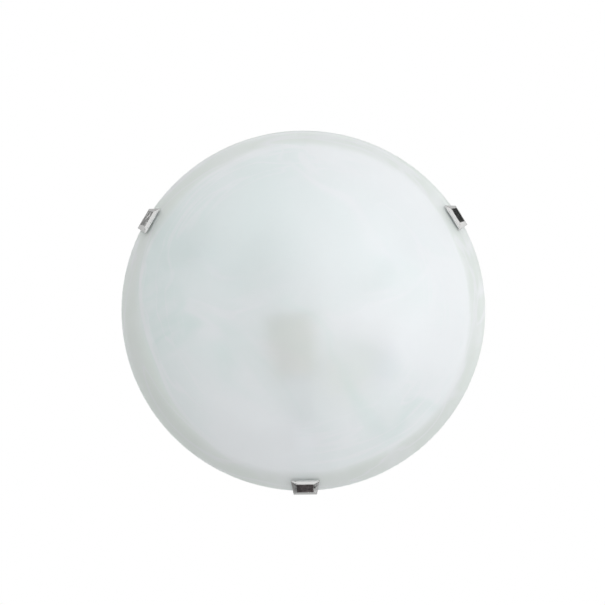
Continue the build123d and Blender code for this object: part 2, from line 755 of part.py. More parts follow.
with BuildPart() as bulb_leads:
    stem_top = stem_foot - stem_length
    filament_edge = filament_along + filament_radius
    for side in (-1, 1):
        close_in = side * 2 * lead_in_radius
        far_out = side * (filament_span / 2 - lead_in_radius)
        with BuildLine(Plane(origin=lamp_mouth, x_dir=lamp_back, z_dir=(0, 0, 1))) as lead_in:
            FilletPolyline((stem_top, -close_in), (stem_top - lead_in_step, -close_in),
                           (filament_edge + lead_in_step, -far_out), (filament_edge, -far_out),
                           radius=2 * lead_in_radius)
        with BuildSketch(Plane(origin=lead_in.line @ 0, z_dir=lead_in.line % 0)):
            Circle(lead_in_radius)
        sweep(path=lead_in.wires()[0])
keep(bulb_leads, "bulb_leads")

# ------------------------------------------------------------------------------------ terminal block
pole_places = [block_x + (pole - (pole_count - 1) / 2) * pole_pitch for pole in range(pole_count)]
screw_rows = (block_y - block_screw_spread, block_y + block_screw_spread)
screw_places = [(x, y) for x in pole_places for y in screw_rows]
block_bottom = -pan_sheet - block_height
with BuildPart() as terminal_block:
    with BuildSketch(Plane.XY.offset(-pan_sheet)):
        with Locations((block_x, block_y)):
            Rectangle(pole_pitch * (pole_count - 1) + pole_width, block_length - 2 * web_inset)
    extrude(amount=-web_height)
    with BuildSketch(Plane.XY.offset(-pan_sheet)):
        with Locations(*[(x, block_y) for x in pole_places]):
            Rectangle(pole_width, block_length)
    extrude(amount=-block_height)
    fillet(terminal_block.faces().sort_by(Axis.Z)[0:pole_count].edges(), block_round)
    with BuildSketch(Plane.XZ.offset(-block_y)):
        with Locations(*[(x, -wire_level) for x in pole_places]):
            Circle(block_insert_radius + hole_clearance)
    extrude(amount=block_length / 2, both=True, mode=Mode.SUBTRACT)
    with BuildSketch(Plane.XY.offset(block_bottom)):
        with Locations(*screw_places):
            Circle(block_screw_hole_radius)
    extrude(amount=-block_bottom - wire_level, mode=Mode.SUBTRACT)
    with BuildSketch(Plane.XY):
        with Locations(block_rivet_place):
            Circle(rivet_radius + hole_clearance)
    extrude(amount=-block_height, mode=Mode.SUBTRACT)
    with BuildSketch(Plane.XY.offset(-pan_sheet - web_height)):
        with Locations(block_rivet_place):
            Circle(rivet_head_radius + slot_clearance)
    extrude(amount=-block_height, mode=Mode.SUBTRACT)
keep(terminal_block, "terminal_block")

with BuildPart() as block_inserts:
    with BuildSketch(Plane.XZ.offset(-block_y)):
        with Locations(*[(x, -wire_level) for x in pole_places]):
            Circle(block_insert_radius)
            Circle(insert_bore_radius, mode=Mode.SUBTRACT)
    extrude(amount=block_insert_length / 2, both=True)
    with BuildSketch(Plane.XY.offset(-wire_level)):
        with Locations(*screw_places):
            Circle(block_screw_radius + hole_clearance)
    extrude(amount=-block_insert_radius, mode=Mode.SUBTRACT)
keep(block_inserts, "block_inserts")

with BuildPart() as block_screws:
    screw_tip = -wire_level - lead_radius - hole_clearance
    with BuildSketch(Plane.XY.offset(screw_tip)):
        with Locations(*screw_places):
            Circle(block_screw_radius)
    extrude(amount=-block_screw_length)
    with BuildSketch(Plane.XY.offset(screw_tip - block_screw_length)):
        with Locations(*screw_places):
            Rectangle(2 * block_screw_radius, screw_slot_width)
    extrude(amount=screw_slot_depth, mode=Mode.SUBTRACT)
keep(block_screws, "block_screws")

with BuildPart() as block_rivet:
    add_rivet(block_rivet_place, web_height)
keep(block_rivet, "block_rivet")

# ----------------------------------------------------------------------------------- cable grommet
with BuildPart() as cable_grommet:
    lower_face = -emboss_depth - pan_sheet
    grommet_plane = Plane(origin=(grommet_x, grommet_y, 0), x_dir=(1, 0, 0), z_dir=(0, -1, 0))
    with BuildSketch(grommet_plane):
        with BuildLine():
            Polyline((grommet_bore_radius, -emboss_depth + grommet_flange),
                     (grommet_flange_radius, -emboss_depth + grommet_flange),
                     (grommet_flange_radius, -emboss_depth),
                     (grommet_hole_radius - hole_clearance, -emboss_depth),
                     (grommet_hole_radius - hole_clearance, lower_face),
                     (grommet_flange_radius, lower_face),
                     (grommet_flange_radius, lower_face - grommet_flange),
                     (grommet_bore_radius, lower_face - grommet_flange), close=True)
        make_face()
    revolve(axis=Axis(origin=(grommet_x, grommet_y, 0), direction=(0, 0, 1)))
    lowest_face = cable_grommet.faces().filter_by(Plane.XY).sort_by(Axis.Z)[0]
    fillet(lowest_face.edges().sort_by(SortBy.RADIUS)[-1], grommet_round)
keep(cable_grommet, "cable_grommet")

# -------------------------------------------------------------------------------------------- earth
lug_top = -pan_sheet - star_washer_sheet
lug_way = Vector(cos(radians(lug_turn)), sin(radians(lug_turn)), 0)
barrel_z = lug_top - lug_sheet / 2 - lug_barrel_radius
with BuildPart() as earth_stud:
    with BuildSketch(Plane(origin=earth_place, z_dir=(0, 0, -1))):
        Circle(stud_radius)
    extrude(amount=pan_sheet + stud_length)
    chamfer(earth_stud.faces().sort_by(Axis.Z)[0].edges(), stud_radius / 4)
keep(earth_stud, "earth_stud")

with BuildPart() as star_washer:
    with BuildSketch(Plane(origin=earth_place - Vector(0, 0, pan_sheet), z_dir=(0, 0, -1))):
        Circle(star_washer_radius - star_washer_sheet)
        with PolarLocations(star_washer_radius - star_washer_sheet, star_washer_teeth):
            Rectangle(2 * star_washer_sheet, 2 * star_washer_sheet)
        Circle(stud_radius + hole_clearance, mode=Mode.SUBTRACT)
    extrude(amount=star_washer_sheet)
keep(star_washer, "star_washer")

with BuildPart() as earth_lug:
    with BuildSketch(Plane(origin=earth_place + Vector(0, 0, lug_top), x_dir=lug_way, z_dir=(0, 0, -1))):
        Circle(lug_radius)
        with Locations((lug_tail / 2, 0)):
            Rectangle(lug_tail, 2 * lug_barrel_radius)
        Circle(stud_radius + hole_clearance, mode=Mode.SUBTRACT)
    extrude(amount=lug_sheet)
    barrel_start = earth_place + lug_way * lug_barrel_start + Vector(0, 0, barrel_z)
    with BuildSketch(Plane(origin=barrel_start, z_dir=lug_way)):
        Circle(lug_barrel_radius)
    extrude(amount=lug_barrel_length)
    with BuildSketch(Plane(origin=barrel_start, z_dir=lug_way)):
        Circle(lead_radius + hole_clearance)
    extrude(amount=lug_barrel_length, mode=Mode.SUBTRACT)
keep(earth_lug, "earth_lug")

with BuildPart() as earth_nut:
    with BuildSketch(Plane(origin=earth_place + Vector(0, 0, lug_top - lug_sheet), z_dir=(0, 0, -1))):
        RegularPolygon(earth_nut_across_flats / 2, 6, major_radius=False)
        Circle(stud_radius + hole_clearance, mode=Mode.SUBTRACT)
    extrude(amount=earth_nut_height)
    chamfer(earth_nut.faces().sort_by(Axis.Z)[0].edges().filter_by(GeomType.LINE), earth_nut_chamfer)
keep(earth_nut, "earth_nut")


# -------------------------------------------------------------------------------------------- leads
def corner_radii(points):
    """Radius at each corner of a lead: as large as its two runs allow."""
    radii = []
    for before, corner, after in zip(points, points[1:], points[2:]):
        first, second = corner - before, after - corner
        turn = radians(first.get_angle(second))
        radii.append(lead_share * min(first.length, second.length) / (sin(turn / 2) / cos(turn / 2)))
    return radii


def lead(points, name):
    """Insulated lead along a route of hand-chosen points."""
    points = [Vector(point) for point in points]
    radii = corner_radii(points)
    with BuildPart() as wire:
        with BuildLine() as route:
            FilletPolyline(*points, radius=radii)
        path = route.wires()[0]
        with BuildSketch(Plane(origin=path @ 0, z_dir=path % 0)):
            Circle(lead_radius)
        sweep(path=path)
    keep(wire, name)
    print(name, "radii", [round(radius, 1) for radius in radii], "length", round(path.length, 1),
          "volume over section times length",
          round(wire.part.volume / (pi * lead_radius ** 2 * path.length), 4))


def holder_point(along, sideways):
    """Point on the lampholder's level plane, behind its mouth and to the side of its axis."""
    return lamp_mouth + lamp_back * along + lamp_side * sideways


terminal_inside = holder_length - holder_lead_grip
lead_clear = holder_length + holder_lead_straight
lead_end_y = block_y + block_lead_end
lead_turn_y = block_y + block_length / 2 + block_lead_straight
lead([holder_point(terminal_inside, terminal_spread), holder_point(lead_clear, terminal_spread),
      (34, 78, -30), (54, 62, -14), (pole_places[1], lead_turn_y, -wire_level),
      (pole_places[1], lead_end_y, -wire_level)], "live_lead")
lead([holder_point(terminal_inside, -terminal_spread),
      holder_point(lead_clear + neutral_lead_extra, -terminal_spread),
      (12, 92, -34), (46, 84, -22), (65, 63, -10), (pole_places[2], lead_turn_y, -wire_level),
      (pole_places[2], lead_end_y, -wire_level)], "neutral_lead")
barrel_end = barrel_start + lug_way * lug_barrel_length
lead([barrel_end - lug_way * lug_lead_grip, barrel_end + lug_way * earth_lead_straight,
      (26, 71, -4.6), (37, 75, -5.4), (45, 67, -6.4),
      (pole_places[0], lead_turn_y + earth_lead_extra, -wire_level),
      (pole_places[0], lead_end_y, -wire_level)], "earth_lead")

os.makedirs("parts", exist_ok=True)
for piece in finished:
    export_step(piece, "parts/" + piece.label + ".step")
print(len(finished), "nodes")
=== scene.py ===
"""Flush mount ceiling light: a satin marbled glass dish under a white steel pan, held by chromed clips."""

from math import cos, pi, radians, sin

import bmesh
import bpy
from bpy.props import FloatProperty, FloatVectorProperty, IntProperty, PointerProperty
from mathutils import Matrix, Vector, noise


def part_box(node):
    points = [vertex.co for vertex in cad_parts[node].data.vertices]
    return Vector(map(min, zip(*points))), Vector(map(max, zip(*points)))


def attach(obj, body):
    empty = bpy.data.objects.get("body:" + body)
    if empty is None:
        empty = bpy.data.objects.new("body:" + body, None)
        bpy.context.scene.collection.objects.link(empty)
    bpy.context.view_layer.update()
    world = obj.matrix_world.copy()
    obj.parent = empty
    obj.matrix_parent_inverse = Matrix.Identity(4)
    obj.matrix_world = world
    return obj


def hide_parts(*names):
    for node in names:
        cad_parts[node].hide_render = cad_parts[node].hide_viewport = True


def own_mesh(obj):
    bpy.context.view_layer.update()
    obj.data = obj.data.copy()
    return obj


bl_info = {
    "name": "Flush mount ceiling light",
    "version": (1, 0, 0),
    "blender": (4, 5, 0),
    "location": "3D View > Sidebar > Ceiling light",
    "description": "Dresses a round glass ceiling light: glass, pan, clips, lampholder, lamp and wiring",
    "category": "Add Mesh",
}

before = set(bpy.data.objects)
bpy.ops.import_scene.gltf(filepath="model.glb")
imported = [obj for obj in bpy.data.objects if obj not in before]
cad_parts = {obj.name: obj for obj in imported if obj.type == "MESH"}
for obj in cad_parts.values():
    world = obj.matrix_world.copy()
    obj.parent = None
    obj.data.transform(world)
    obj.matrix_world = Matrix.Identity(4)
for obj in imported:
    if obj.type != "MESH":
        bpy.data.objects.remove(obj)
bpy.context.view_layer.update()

MM = 0.001
FLAT_GRAIN = 0.02 * MM        # relief of a fine painted or etched skin


# ------------------------------------------------------------------------------------ user settings
def colour_property(name, description, default):
    """A colour that a user would change."""
    return FloatVectorProperty(name=name, description=description, default=default, subtype="COLOR",
                               size=3, min=0.0, max=1.0)


def length_property(name, description, default, precision=4):
    """A length that a user would change."""
    return FloatProperty(name=name, description=description, default=default, unit="LENGTH",
                         precision=precision)


def angle_property(name, description, degrees):
    """An angle that a user would change, given in degrees."""
    return FloatProperty(name=name, description=description, default=radians(degrees), subtype="ANGLE")


def share_property(name, description, default):
    """A share from 0 to 1 that a user would change."""
    return FloatProperty(name=name, description=description, default=default, subtype="FACTOR",
                         min=0.0, max=1.0)


def strength_property(name, description, default):
    """An amount of light that a user would change."""
    return FloatProperty(name=name, description=description, default=default, min=0.0)


class GlassSettings(bpy.types.PropertyGroup):
    """Satin glass of the dish."""

    milk: colour_property("Milk", "Colour of the white swirls", (0.955, 0.978, 1.0))
    clear: colour_property("Body", "Colour of the glass between the swirls", (0.82, 0.915, 0.905))
    edge: colour_property("Edge", "Colour of the thinner milk near the rim", (0.86, 0.915, 0.885))
    swirl_scale: FloatProperty(name="Swirl scale", description="Swirls per metre", default=7.0, min=1.0)
    shore: length_property("Shore", "Distance from the middle at which the milk ends", 133.5 * MM)
    shore_wander: length_property("Shore wander", "How far the milk's edge strays", 34 * MM)
    sheerness: share_property("Sheerness", "Share of light that goes on through the glass", 0.52)
    satin: share_property("Satin", "Roughness of the etched skin", 0.40)


class MetalSettings(bpy.types.PropertyGroup):
    """Chrome, enamel and zinc."""

    chrome: colour_property("Chrome", "Colour of the plating on the clips", (0.81, 0.81, 0.80))
    enamel: colour_property("Enamel", "Colour of the pan", (0.94, 0.94, 0.93))
    zinc: colour_property("Zinc", "Colour of the plated steel parts", (0.80, 0.81, 0.83))
    brass: colour_property("Brass", "Colour of the contacts", (0.72, 0.53, 0.25))
    cap_wave: length_property("Cap wave", "Depth of the waves in the pressed clip caps", 0.12 * MM, 5)
    spring_turns: IntProperty(name="Spring turns", description="Open turns of the clip's spring",
                              default=8, min=2)
    spring_wire: length_property("Spring wire", "Diameter of the spring's wire", 0.9 * MM)


class LampSettings(bpy.types.PropertyGroup):
    """Lampholder and lamp."""

    # painted shade: the glaze is far darker than real porcelain, standing in for the shade on and around the
    # lampholder inside the pan
    porcelain: colour_property("Porcelain", "Colour of the lampholder's glaze", (0.36, 0.37, 0.22))
    pearl: colour_property("Pearl", "Colour of the bulb's frosted glass", (0.96, 0.96, 0.95))
    thread_pitch: length_property("Thread pitch", "Pitch of the screw cap", 3.629 * MM, 6)
    thread_depth: length_property("Thread depth", "Depth of the rolled thread", 0.8 * MM, 5)
    sheet: length_property("Cap sheet", "Thickness of the screw cap's metal", 0.3 * MM, 5)


class WiringSettings(bpy.types.PropertyGroup):
    """Leads and terminal block."""

    live: colour_property("Live", "Colour of the live lead", (0.17, 0.075, 0.035))
    neutral: colour_property("Neutral", "Colour of the neutral lead", (0.035, 0.12, 0.42))
    earth_green: colour_property("Earth green", "Ground colour of the earth lead", (0.10, 0.34, 0.06))
    earth_yellow: colour_property("Earth yellow", "Stripe on the earth lead", (0.85, 0.72, 0.05))
    sleeve: colour_property("Sleeve", "Colour of the heat sleeves on the leads", (0.94, 0.94, 0.91))
    sleeve_end: length_property("Sleeve end", "Height at which the sleeves stop, from the ceiling", -12 * MM)
    nylon: colour_property("Nylon", "Colour of the terminal block", (0.96, 0.96, 0.94))


class StageSettings(bpy.types.PropertyGroup):
    """Camera, floor and lights."""

    camera_distance: length_property("Camera distance", "From the edge of the glass", 1.2)
    camera_tilt: angle_property("Camera tilt", "Off the light's axis, towards the sprung clip", 8.4)
    camera_roll: angle_property("Camera roll", "Turn about the camera's own axis", 0.6)
    view_width: length_property("View width", "Width seen at the edge of the glass", 0.498)
    floor_drop: length_property("Floor drop", "From the ceiling down to the floor", 2.4)
    key_power: strength_property("Key power", "Watts of the soft key lamp", 12.5)
    room_strength: strength_property("Room light", "Strength of the plain light all round", 1.20)
    room_above: strength_property("Room above", "Strength of the plain light from above", 0.85)
    room_lean: share_property("Room lean", "How much brighter one side of the room is", 0.30)
    ceiling_shade: strength_property("Ceiling shade", "Strength of the room above, seen through glass", 0.28)
    dark_side: share_property("Dark side", "How dark a band of the room mirrors show", 0.97)


# ------------------------------------------------------------------------------------ material nodes
class NodeWork:
    """Steps that put nodes together, for a finish or for the room."""

    tree = None
    place = None

    def add(self, kind, **values):
        """A node, with values for its inputs by name, or its own settings."""
        node = self.tree.nodes.new(kind)
        for key, value in values.items():
            if key in node.inputs:
                self.feed(node.inputs[key], value)
            else:
                setattr(node, key, value)
        return node

    def feed(self, socket, value):
        """Link a socket to another, or set its value."""
        if isinstance(value, bpy.types.NodeSocket):
            self.tree.links.new(value, socket)
        else:
            socket.default_value = value

    def noise(self, scale, detail=2.0, distortion=0.0, at=None, stretch=None):
        """Noise from 0 to 1, with its scale in features per metre."""
        at = at or self.place
        if stretch:
            at = self.add("ShaderNodeMapping", Vector=at, Scale=stretch).outputs["Vector"]
        node = self.add("ShaderNodeTexNoise", Vector=at, Scale=scale, Detail=detail, Distortion=distortion)
        return node.outputs["Fac"]

    def span(self, value, low, high, start=0.3, stop=0.7, smooth=False):
        """A value from start to stop, stretched from low to high and clamped."""
        node = self.add("ShaderNodeMapRange", interpolation_type="SMOOTHSTEP" if smooth else "LINEAR")
        self.feed(node.inputs["Value"], value)
        for key, number in (("From Min", start), ("From Max", stop), ("To Min", low), ("To Max", high)):
            node.inputs[key].default_value = number
        return node.outputs["Result"]

    def sum(self, kind, *values):
        """Arithmetic on values."""
        node = self.add("ShaderNodeMath", operation=kind)
        for socket, value in zip(node.inputs, values):
            self.feed(socket, value)
        return node.outputs["Value"]

    def times(self, first, *others):
        """Values multiplied."""
        for other in others:
            first = self.sum("MULTIPLY", first, other)
        return first

    def rest(self, value):
        """What a share leaves of 1."""
        return self.sum("SUBTRACT", 1.0, value)

    def blend(self, share, first, second):
        """Two values mixed by a share."""
        return self.sum("MULTIPLY_ADD", share, self.sum("SUBTRACT", second, first), first)

    def shade(self, share, first, second):
        """Two colours mixed by a share."""
        node = self.add("ShaderNodeMix", data_type="RGBA")
        self.feed(node.inputs["Factor"], share)
        ends = [socket for socket in node.inputs if socket.type == "RGBA"]
        for socket, value in zip(ends, (first, second)):
            self.feed(socket, value if isinstance(value, bpy.types.NodeSocket) else (*value, 1.0))
        return next(socket for socket in node.outputs if socket.type == "RGBA")

    def vector(self, kind, output, *values):
        """Arithmetic on vectors, by the name of the output that is wanted."""
        node = self.add("ShaderNodeVectorMath", operation=kind)
        for socket, value in zip(node.inputs, values):
            self.feed(socket, value)
        return node.outputs[output]


class Finish(NodeWork):
    """A node material, put together a step at a time."""

    def __init__(self, name):
        self.material = bpy.data.materials.new(name)
        self.material.use_nodes = True
        self.tree = self.material.node_tree
        self.surface = self.tree.nodes["Principled BSDF"]
        self.place = self.add("ShaderNodeTexCoord").outputs["Object"]

    def set(self, **values):
        """Values of the surface shader's own sockets, with _ for a space in their names."""
        for key, value in values.items():
            self.feed(self.surface.inputs[key.replace("_", " ")], value)

    def relief(self, height, depth):
        """Raise the surface by a height from 0 to 1, of that depth in metres."""
        node = self.add("ShaderNodeBump", Height=height, Distance=depth, Strength=1.0)
        self.feed(self.surface.inputs["Normal"], node.outputs["Normal"])
        return self


class Room(NodeWork):
    """The world's nodes."""

    def __init__(self, name, context):
        world = bpy.data.worlds.new(name)
        context.scene.world = world
        world.use_nodes = True
        self.tree = world.node_tree
        self.surface = self.tree.nodes["Background"]
        self.place = self.add("ShaderNodeTexCoord").outputs["Generated"]


def darker(colour, share):
    """A colour with that share of its light taken off."""
    return tuple(channel * (1 - share) for channel in colour[:3])


def metal(name, colour, rough, patch_scale, patch=0.1, grain=900.0, grain_depth=FLAT_GRAIN / 4):
    """Plated or bare metal: patchy tone, uneven gloss and a fine grain."""
    finish = Finish(name)
    patches = finish.noise(patch_scale, detail=4.0, distortion=0.4)
    finish.set(Base_Color=finish.shade(finish.span(patches, 0.0, 1.0), darker(colour, patch), tuple(colour)),
               Metallic=1.0, Roughness=finish.span(patches, rough * 1.25, rough * 0.8))
    return finish.relief(finish.noise(grain), grain_depth)


def moulded(name, colour, rough, grain=700.0, grain_depth=FLAT_GRAIN, patch=0.05, **sockets):
    """Moulded, glazed or painted skin: faint mottle, uneven gloss and a fine grain."""
    finish = Finish(name)
    mottle = finish.noise(60.0, detail=3.0)
    finish.set(Base_Color=finish.shade(finish.span(mottle, 0.0, 1.0), darker(colour, patch), tuple(colour)),
               Roughness=finish.span(finish.noise(25.0), rough * 0.85, rough * 1.15), **sockets)
    return finish.relief(finish.noise(grain), grain_depth)


def dress(finish, *nodes):
    """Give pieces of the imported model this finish."""
    for node in nodes:
        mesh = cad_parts[node].data
        mesh.materials.clear()
        mesh.materials.append(finish.material)


# ------------------------------------------------------------------------------------ mesh building
def show_mesh(mesh, finish):
    """An object in the scene from a mesh, under the mesh's name."""
    mesh.materials.append(finish.material)
    piece = bpy.data.objects.new(mesh.name, mesh)
    bpy.context.scene.collection.objects.link(piece)
    return piece


def make_piece(name, points, faces, finish, smooth=True):
    """A mesh object from points in metres and faces."""
    mesh = bpy.data.meshes.new(name)
    mesh.from_pydata([tuple(point) for point in points], [], faces)
    mesh.validate()
    mesh.update()
    if smooth:
        mesh.shade_smooth()
    else:
        mesh.shade_flat()
    return show_mesh(mesh, finish)


def place_piece(piece, body, slot, *nodes):
    """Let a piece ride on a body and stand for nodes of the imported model."""
    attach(piece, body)
    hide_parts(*nodes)


def ring_faces(rings, around, first=0, flip=False):
    """Faces of a tube whose rings follow each other in the list of points."""
    faces = []
    for ring in range(rings - 1):
        near, far = first + ring * around, first + (ring + 1) * around
        for step in range(around):
            after = (step + 1) % around
            corners = [near + step, near + after, far + after, far + step]
            faces.append(corners[::-1] if flip else corners)
    return faces


def tube_along(centres, radius, around=12):
    """Points and faces of a closed tube along a line of centres."""
    points = []
    side = None
    for index, centre in enumerate(centres):
        ahead = centres[min(index + 1, len(centres) - 1)] - centres[max(index - 1, 0)]
        ahead.normalize()
        if side is None:
            side = ahead.orthogonal().normalized()
        side = (side - ahead * side.dot(ahead)).normalized()
        up = ahead.cross(side)
        for step in range(around):
            turn = 2 * pi * step / around
            points.append(centre + (side * cos(turn) + up * sin(turn)) * radius)
    faces = ring_faces(len(centres), around)
    faces.append(list(range(around))[::-1])
    faces.append([len(points) - around + step for step in range(around)])
    return points, faces


# ------------------------------------------------------------------------------------ lamp's own axis
LAMP_TURN = radians(7)
LAMP_MOUTH = Vector((-12.2, 11.2, -37.0)) * MM
LAMP_BACK = Vector((sin(LAMP_TURN), cos(LAMP_TURN), 0.0))
LAMP_SIDE = Vector((cos(LAMP_TURN), -sin(LAMP_TURN), 0.0))
LAMP_UP = LAMP_SIDE.cross(LAMP_BACK)


def lamp_point(along, radius, turn):
    """A point at a distance behind the lampholder's mouth, turned right-handed about the lamp's axis."""
    return LAMP_MOUTH + LAMP_BACK * along + (LAMP_SIDE * sin(turn) + LAMP_UP * cos(turn)) * radius


def lamp_range(node):
    """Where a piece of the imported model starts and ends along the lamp's axis."""
    reach = [(vertex.co - LAMP_MOUTH).dot(LAMP_BACK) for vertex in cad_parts[node].data.vertices]
    return min(reach), max(reach)


def threaded_tube(start, end, root, depth, pitch, sheet, around=72, rings_per_turn=10):
    """Points and faces of rolled sheet with a right-handed round thread, open at both ends."""
    rings = int((end - start) / (pitch / rings_per_turn)) + 1
    fade = pitch / 2              # the thread rises from nothing over this length at each end
    points = []
    for wall in (sheet, 0.0):
        for ring in range(rings):
            along = start + (end - start) * ring / (rings - 1)
            share = min((along - start) / fade, (end - along) / fade, 1.0)
            for step in range(around):
                wave = (1 + cos(2 * pi * (along / pitch - step / around))) / 2
                points.append(lamp_point(along, root + wall + depth * wave * share, 2 * pi * step / around))
    inner = rings * around
    last = (rings - 1) * around
    faces = ring_faces(rings, around, flip=True) + ring_faces(rings, around, first=inner)
    for step in range(around):
        after = (step + 1) % around
        faces.append([step, after, inner + after, inner + step])
        faces.append([last + step, inner + last + step, inner + last + after, last + after])
    return points, faces


# --------------------------------------------------------------------------------------- operators
class LIGHT_OT_glass(bpy.types.Operator):
    """Give the dish its satin skin and its milky swirls"""

    bl_idname = "ceiling_light.glass"
    bl_label = "Satin glass dish"

    milk_side = (0.86, 0.24, 0.0)     # direction across the dish in which the milk grows thicker
    side_milk = (0.15, 0.70)          # milk on the thin side and on the thick side
    cloud_milk = 0.40                 # what a full cloud adds to the milk
    vein_milk = 0.55                  # what a white vein adds
    clear_vein_milk = -0.45           # what a clear vein adds: it takes milk away
    vein_width = 0.045                # of the white veins, as a step of their noise from its middle
    clear_vein_width = 0.05
    clear_vein_offset = 3.7           # metres by which their noise is moved, so that they lie elsewhere
    rings_per_metre = 55.0            # how fast the rim's wisps change outwards
    ring_width = 0.035                # of the rim's wisps, as a step of their noise from its middle
    ring_start = (85 * MM, 118 * MM)  # distances from the middle over which they appear
    ring_strength = 0.8               # of the wisps that run round the dish, against a white vein
    skirt_milk_dark = 0.03            # how much darker the rim's milk is than the middle's
    # painted shade: the rim is painted darker on the thick side, by this share
    rim_painted_shade = 0.04            # how much darker the rim is on the thick side

    def execute(self, context):
        look = context.scene.light_glass
        finish = Finish("satin_glass")
        flat = finish.vector("MULTIPLY", "Vector", finish.place, (1.0, 1.0, 0.0))
        side = finish.vector("DOT_PRODUCT", "Value", flat, self.milk_side)
        reach = finish.vector("LENGTH", "Value", flat)
        rings = finish.times(self.rim_wisps(finish, flat, reach), self.ring_strength)
        stray = finish.sum("SUBTRACT", finish.noise(look.swirl_scale * 0.8), 0.5)
        coast = finish.sum("MULTIPLY_ADD", stray, look.shore_wander, reach)
        crest = self.crest(finish, look, coast)
        rim = finish.span(coast, 0.0, 1.0, look.shore - 4 * MM, look.shore + 5 * MM, smooth=True)
        milk = finish.sum("ADD", self.swirls(finish, look, side, rings), crest)
        body = finish.shade(finish.span(milk, 0.0, 1.0, 0.0, 1.0), tuple(look.clear), tuple(look.milk))
        rim = finish.times(rim, finish.rest(crest))
        leaving = finish.add("ShaderNodeNewGeometry").outputs["Backfacing"]
        finish.set(Base_Color=finish.shade(rim, body, self.skirt(finish, look, side, rings)),
                   Transmission_Weight=finish.span(leaving, look.sheerness, 1.0, 0.0, 1.0),
                   IOR=1.5, Specular_IOR_Level=0.3,
                   Roughness=finish.span(finish.noise(40.0), look.satin * 0.94, look.satin * 1.06))
        finish.relief(finish.noise(1800.0), FLAT_GRAIN)
        dress(finish, "glass_dish")
        return {"FINISHED"}

    def swirls(self, finish, look, side, rings):
        """How milky the glass is: thicker to one side, with clouds, white veins, wisps and clear veins."""
        scale = look.swirl_scale
        stirred = self.stir(finish, scale)
        clouds = finish.noise(scale, detail=3.0, distortion=0.6, at=stirred)
        clouds = finish.span(clouds, 0.0, 1.0, 0.36, 0.64, smooth=True)
        white = self.veins(finish, scale * 1.4, self.vein_width, stirred, 0.0)
        clear = self.veins(finish, scale * 1.1, self.clear_vein_width, stirred, self.clear_vein_offset)
        milk = finish.span(side, *self.side_milk, -140 * MM, 50 * MM, smooth=True)
        milk = finish.sum("MULTIPLY_ADD", clouds, self.cloud_milk, milk)
        milk = finish.sum("MULTIPLY_ADD", finish.sum("MAXIMUM", white, rings), self.vein_milk, milk)
        return finish.sum("MULTIPLY_ADD", clear, self.clear_vein_milk, milk)

    def skirt(self, finish, look, side, rings):
        """Colour of the rim, outside the milk's edge: thin glass with a few wisps, and painted shade that
        darkens it towards the thick side.
        """
        wisps = finish.noise(look.swirl_scale * 2.4, detail=4.0, distortion=1.2)
        wisps = finish.span(wisps, 0.0, 0.75, 0.48, 0.68)
        wisps = finish.times(wisps, finish.span(side, 0.45, 1.0, -120 * MM, 20 * MM))
        # painted shade: the rim's colour is darkened towards the thick side
        tone = finish.shade(finish.span(side, 0.0, 1.0, 0.0, 130 * MM), tuple(look.edge),
                            darker(look.edge, self.rim_painted_shade))
        pale = darker(look.milk, self.skirt_milk_dark)
        return finish.shade(finish.sum("MAXIMUM", wisps, rings), tone, pale)

    @staticmethod
    def crest(finish, look, coast):
        """A bright line along the milk's edge, stronger in some places."""
        inner = finish.span(coast, 0.0, 1.0, look.shore - 3 * MM, look.shore - 1 * MM, smooth=True)
        outer = finish.span(coast, 1.0, 0.0, look.shore - 0.5 * MM, look.shore + 1 * MM, smooth=True)
        broken = finish.span(finish.noise(look.swirl_scale * 1.3), 0.1, 0.9, 0.4, 0.6)
        return finish.times(inner, outer, broken)

    @staticmethod
    def stir(finish, scale):
        """Places pushed about by a slow noise, so that streaks swirl."""
        push = 160 * MM               # how far a streak can be pushed
        warp = finish.add("ShaderNodeTexNoise", Vector=finish.place, Scale=scale * 0.6, Detail=2.0)
        return finish.vector("MULTIPLY_ADD", "Vector", warp.outputs["Color"], (push,) * 3, finish.place)

    @staticmethod
    def veins(finish, scale, width, at, offset):
        """Thin lines where a noise passes its middle value, broken up by a slower noise."""
        moved = finish.add("ShaderNodeMapping", Vector=at, Location=(offset, offset, 0.0)).outputs["Vector"]
        height = finish.noise(scale, distortion=1.0, at=moved)
        ridge = finish.sum("ABSOLUTE", finish.sum("SUBTRACT", height, 0.5))
        line = finish.span(ridge, 1.0, 0.0, 0.0, width, smooth=True)
        return finish.times(line, finish.span(finish.noise(scale * 0.7, at=moved), 0.0, 1.0, 0.45, 0.62))

    def rim_wisps(self, finish, flat, reach):
        """Wisps that run round the dish near its rim, from a noise that is stretched round the dish."""
        way = finish.vector("NORMALIZE", "Vector", flat)
        axes = finish.add("ShaderNodeSeparateXYZ", Vector=way).outputs
        outward = finish.times(reach, self.rings_per_metre)
        spun = finish.add("ShaderNodeCombineXYZ", X=axes["X"], Y=axes["Y"], Z=outward).outputs["Vector"]
        height = finish.noise(1.1, distortion=0.5, at=spun)
        ridge = finish.sum("ABSOLUTE", finish.sum("SUBTRACT", height, 0.5))
        near = finish.span(reach, 0.0, 1.0, *self.ring_start, smooth=True)
        return finish.times(finish.span(ridge, 1.0, 0.0, 0.0, self.ring_width, smooth=True), near)


class LIGHT_OT_pan(bpy.types.Operator):
    """Give the pan its stove enamel"""

    bl_idname = "ceiling_light.pan"
    bl_label = "Enamelled pan"

    def execute(self, context):
        enamel = moulded("white_enamel", context.scene.light_metal.enamel, rough=0.34, grain=420.0,
                         grain_depth=FLAT_GRAIN * 1.5, patch=0.03, Coat_Weight=0.35, Coat_Roughness=0.08)
        dress(enamel, "pan")
        return {"FINISHED"}


